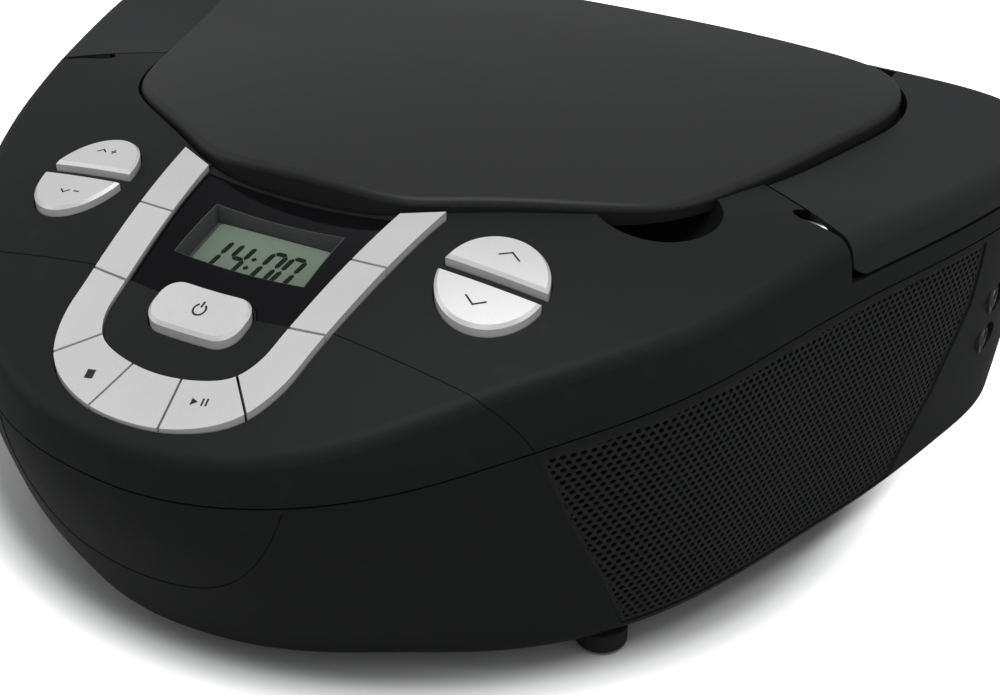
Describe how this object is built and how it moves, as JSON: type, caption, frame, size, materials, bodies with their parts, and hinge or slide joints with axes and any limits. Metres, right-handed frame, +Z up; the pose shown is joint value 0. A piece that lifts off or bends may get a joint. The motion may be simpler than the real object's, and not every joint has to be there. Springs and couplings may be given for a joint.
{
  "type": "boombox cd player",
  "caption": "Portable compact disc player with side speakers, a crowned disc lid, a folding handle, a display window and a U of push keys.",
  "frame": {"origin": "centre of the footprint, at the bottom of the feet", "axes": "+X to the player's right as seen from its front, +Y to its back, +Z up"},
  "size_m": [0.2992, 0.2473, 0.1017],
  "materials": {
    "housing": "fine satin grain",
    "lid": "smooth satin",
    "handle": "fine satin grain",
    "grille": "black perforated sheet",
    "window": "dark gloss",
    "display": "grey-green",
    "key": "silver satin",
    "round_key": "silver satin",
    "power_key": "silver satin",
    "well": "black",
    "clamp": "grey",
    "turntable": "dark grey with rubber ring",
    "frame": "black",
    "sled": "cast",
    "lens": "coated",
    "steel": "turned",
    "motor": "drawn can",
    "circuit_board": "green lacquer",
    "switch": "black",
    "component": "black",
    "rubber": "soft",
    "speaker_frame": "black",
    "cone": "pressed paper",
    "magnet": "dark grey",
    "transformer": "laminated",
    "contact": "plated",
    "socket": "black",
    "jack": "plated bush"
  },
  "bodies": {
    "housing": {"lower_housing": "housing", "upper_housing": "housing", "disc_well": "well", "display_window": "window", "lcd_module": "display", "key_board": "circuit_board", "key_switches": "switch", "main_board": "circuit_board", "board_components": "component", "grille_left": "grille", "grille_right": "grille", "speaker_frame_left": "speaker_frame", "speaker_frame_right": "speaker_frame", "speaker_cone_left": "cone", "speaker_cone_right": "cone", "speaker_magnet_left": "magnet", "speaker_magnet_right": "magnet", "headphone_jack": "jack", "aux_jack": "jack", "feet": "rubber", "housing_screws": "steel", "transformer": "transformer", "mains_inlet": "socket", "battery_contacts": "contact", "deck_frame": "frame", "guide_rods": "steel", "spindle_motor": "motor", "sled_motor": "motor", "lid_hinge_pins": "steel", "handle_pins": "steel"},
    "lid": {"lid": "lid"},
    "disc_clamp": {"disc_clamp": "clamp"},
    "handle": {"handle": "handle"},
    "turntable": {"turntable_hub": "turntable"},
    "sled": {"laser_sled": "sled", "laser_lens": "lens"},
    "sled_screw": {"sled_screw": "steel"},
    "battery_door": {"battery_door": "housing"},
    "key_front": {"key_front": "key"},
    "key_front_right": {"key_front_right": "key"},
    "key_front_left": {"key_front_left": "key"},
    "key_corner_right": {"key_corner_right": "key"},
    "key_corner_left": {"key_corner_left": "key"},
    "key_side_right": {"key_side_right": "key"},
    "key_side_left": {"key_side_left": "key"},
    "key_rear_right": {"key_rear_right": "key"},
    "key_rear_left": {"key_rear_left": "key"},
    "power_key": {"power_key": "power_key"},
    "round_key_right_up": {"round_key_right_up": "round_key"},
    "round_key_right_down": {"round_key_right_down": "round_key"},
    "round_key_left_up": {"round_key_left_up": "round_key"},
    "round_key_left_down": {"round_key_left_down": "round_key"}
  },
  "joints": [
    {"name": "lid_hinge", "type": "hinge", "parent": "housing", "child": "lid", "pos_m": [0, 0.104, 0.0883], "axis": [-1, 0, 0], "range_deg": [0, 70]},
    {"name": "clamp_spin", "type": "hinge", "parent": "lid", "child": "disc_clamp", "pos_m": [0, 0.03, 0.088], "axis": [0, 0, 1], "continuous": true},
    {"name": "handle_hinge", "type": "hinge", "parent": "housing", "child": "handle", "pos_m": [0, 0.011, 0.0874], "axis": [1, 0, 0], "range_deg": [0, 85]},
    {"name": "turntable_spin", "type": "hinge", "parent": "housing", "child": "turntable", "pos_m": [0, 0.03, 0.079], "axis": [0, 0, 1], "continuous": true},
    {"name": "sled_slide", "type": "slide", "parent": "housing", "child": "sled", "axis": [1, 0, 0], "range_m": [0, 0.032]},
    {"name": "sled_screw_turn", "type": "hinge", "parent": "housing", "child": "sled_screw", "pos_m": [0.04, 0.052, 0.069], "axis": [1, 0, 0], "range_deg": [0, 2900]},
    {"name": "battery_door_hinge", "type": "hinge", "parent": "housing", "child": "battery_door", "pos_m": [0, 0.02, 0.0077], "axis": [-1, 0, 0], "range_deg": [0, 90]},
    {"name": "key_front_press", "type": "slide", "parent": "housing", "child": "key_front", "axis": [0, 0, -1], "range_m": [0, 0.0008], "stiffness_N_per_m": 500, "springref_m": -0.0006},
    {"name": "key_front_right_press", "type": "slide", "parent": "housing", "child": "key_front_right", "axis": [0, 0, -1], "range_m": [0, 0.0008], "stiffness_N_per_m": 500, "springref_m": -0.0006},
    {"name": "key_front_left_press", "type": "slide", "parent": "housing", "child": "key_front_left", "axis": [0, 0, -1], "range_m": [0, 0.0008], "stiffness_N_per_m": 500, "springref_m": -0.0006},
    {"name": "key_corner_right_press", "type": "slide", "parent": "housing", "child": "key_corner_right", "axis": [0, 0, -1], "range_m": [0, 0.0008], "stiffness_N_per_m": 500, "springref_m": -0.0006},
    {"name": "key_corner_left_press", "type": "slide", "parent": "housing", "child": "key_corner_left", "axis": [0, 0, -1], "range_m": [0, 0.0008], "stiffness_N_per_m": 500, "springref_m": -0.0006},
    {"name": "key_side_right_press", "type": "slide", "parent": "housing", "child": "key_side_right", "axis": [0, 0, -1], "range_m": [0, 0.0008], "stiffness_N_per_m": 500, "springref_m": -0.0006},
    {"name": "key_side_left_press", "type": "slide", "parent": "housing", "child": "key_side_left", "axis": [0, 0, -1], "range_m": [0, 0.0008], "stiffness_N_per_m": 500, "springref_m": -0.0006},
    {"name": "key_rear_right_press", "type": "slide", "parent": "housing", "child": "key_rear_right", "axis": [0, 0, -1], "range_m": [0, 0.0008], "stiffness_N_per_m": 500, "springref_m": -0.0006},
    {"name": "key_rear_left_press", "type": "slide", "parent": "housing", "child": "key_rear_left", "axis": [0, 0, -1], "range_m": [0, 0.0008], "stiffness_N_per_m": 500, "springref_m": -0.0006},
    {"name": "power_key_press", "type": "slide", "parent": "housing", "child": "power_key", "axis": [0, 0, -1], "range_m": [0, 0.0008], "stiffness_N_per_m": 500, "springref_m": -0.0006},
    {"name": "round_key_right_up_press", "type": "slide", "parent": "housing", "child": "round_key_right_up", "axis": [0, 0, -1], "range_m": [0, 0.0008], "stiffness_N_per_m": 500, "springref_m": -0.0006},
    {"name": "round_key_right_down_press", "type": "slide", "parent": "housing", "child": "round_key_right_down", "axis": [0, 0, -1], "range_m": [0, 0.0008], "stiffness_N_per_m": 500, "springref_m": -0.0006},
    {"name": "round_key_left_up_press", "type": "slide", "parent": "housing", "child": "round_key_left_up", "axis": [0, 0, -1], "range_m": [0, 0.0008], "stiffness_N_per_m": 500, "springref_m": -0.0006},
    {"name": "round_key_left_down_press", "type": "slide", "parent": "housing", "child": "round_key_left_down", "axis": [0, 0, -1], "range_m": [0, 0.0008], "stiffness_N_per_m": 500, "springref_m": -0.0006}
  ],
  "couplings": [
    {"joint": "sled_screw_turn", "follows": "sled_slide", "rad_per_m": 1570.8}
  ]
}
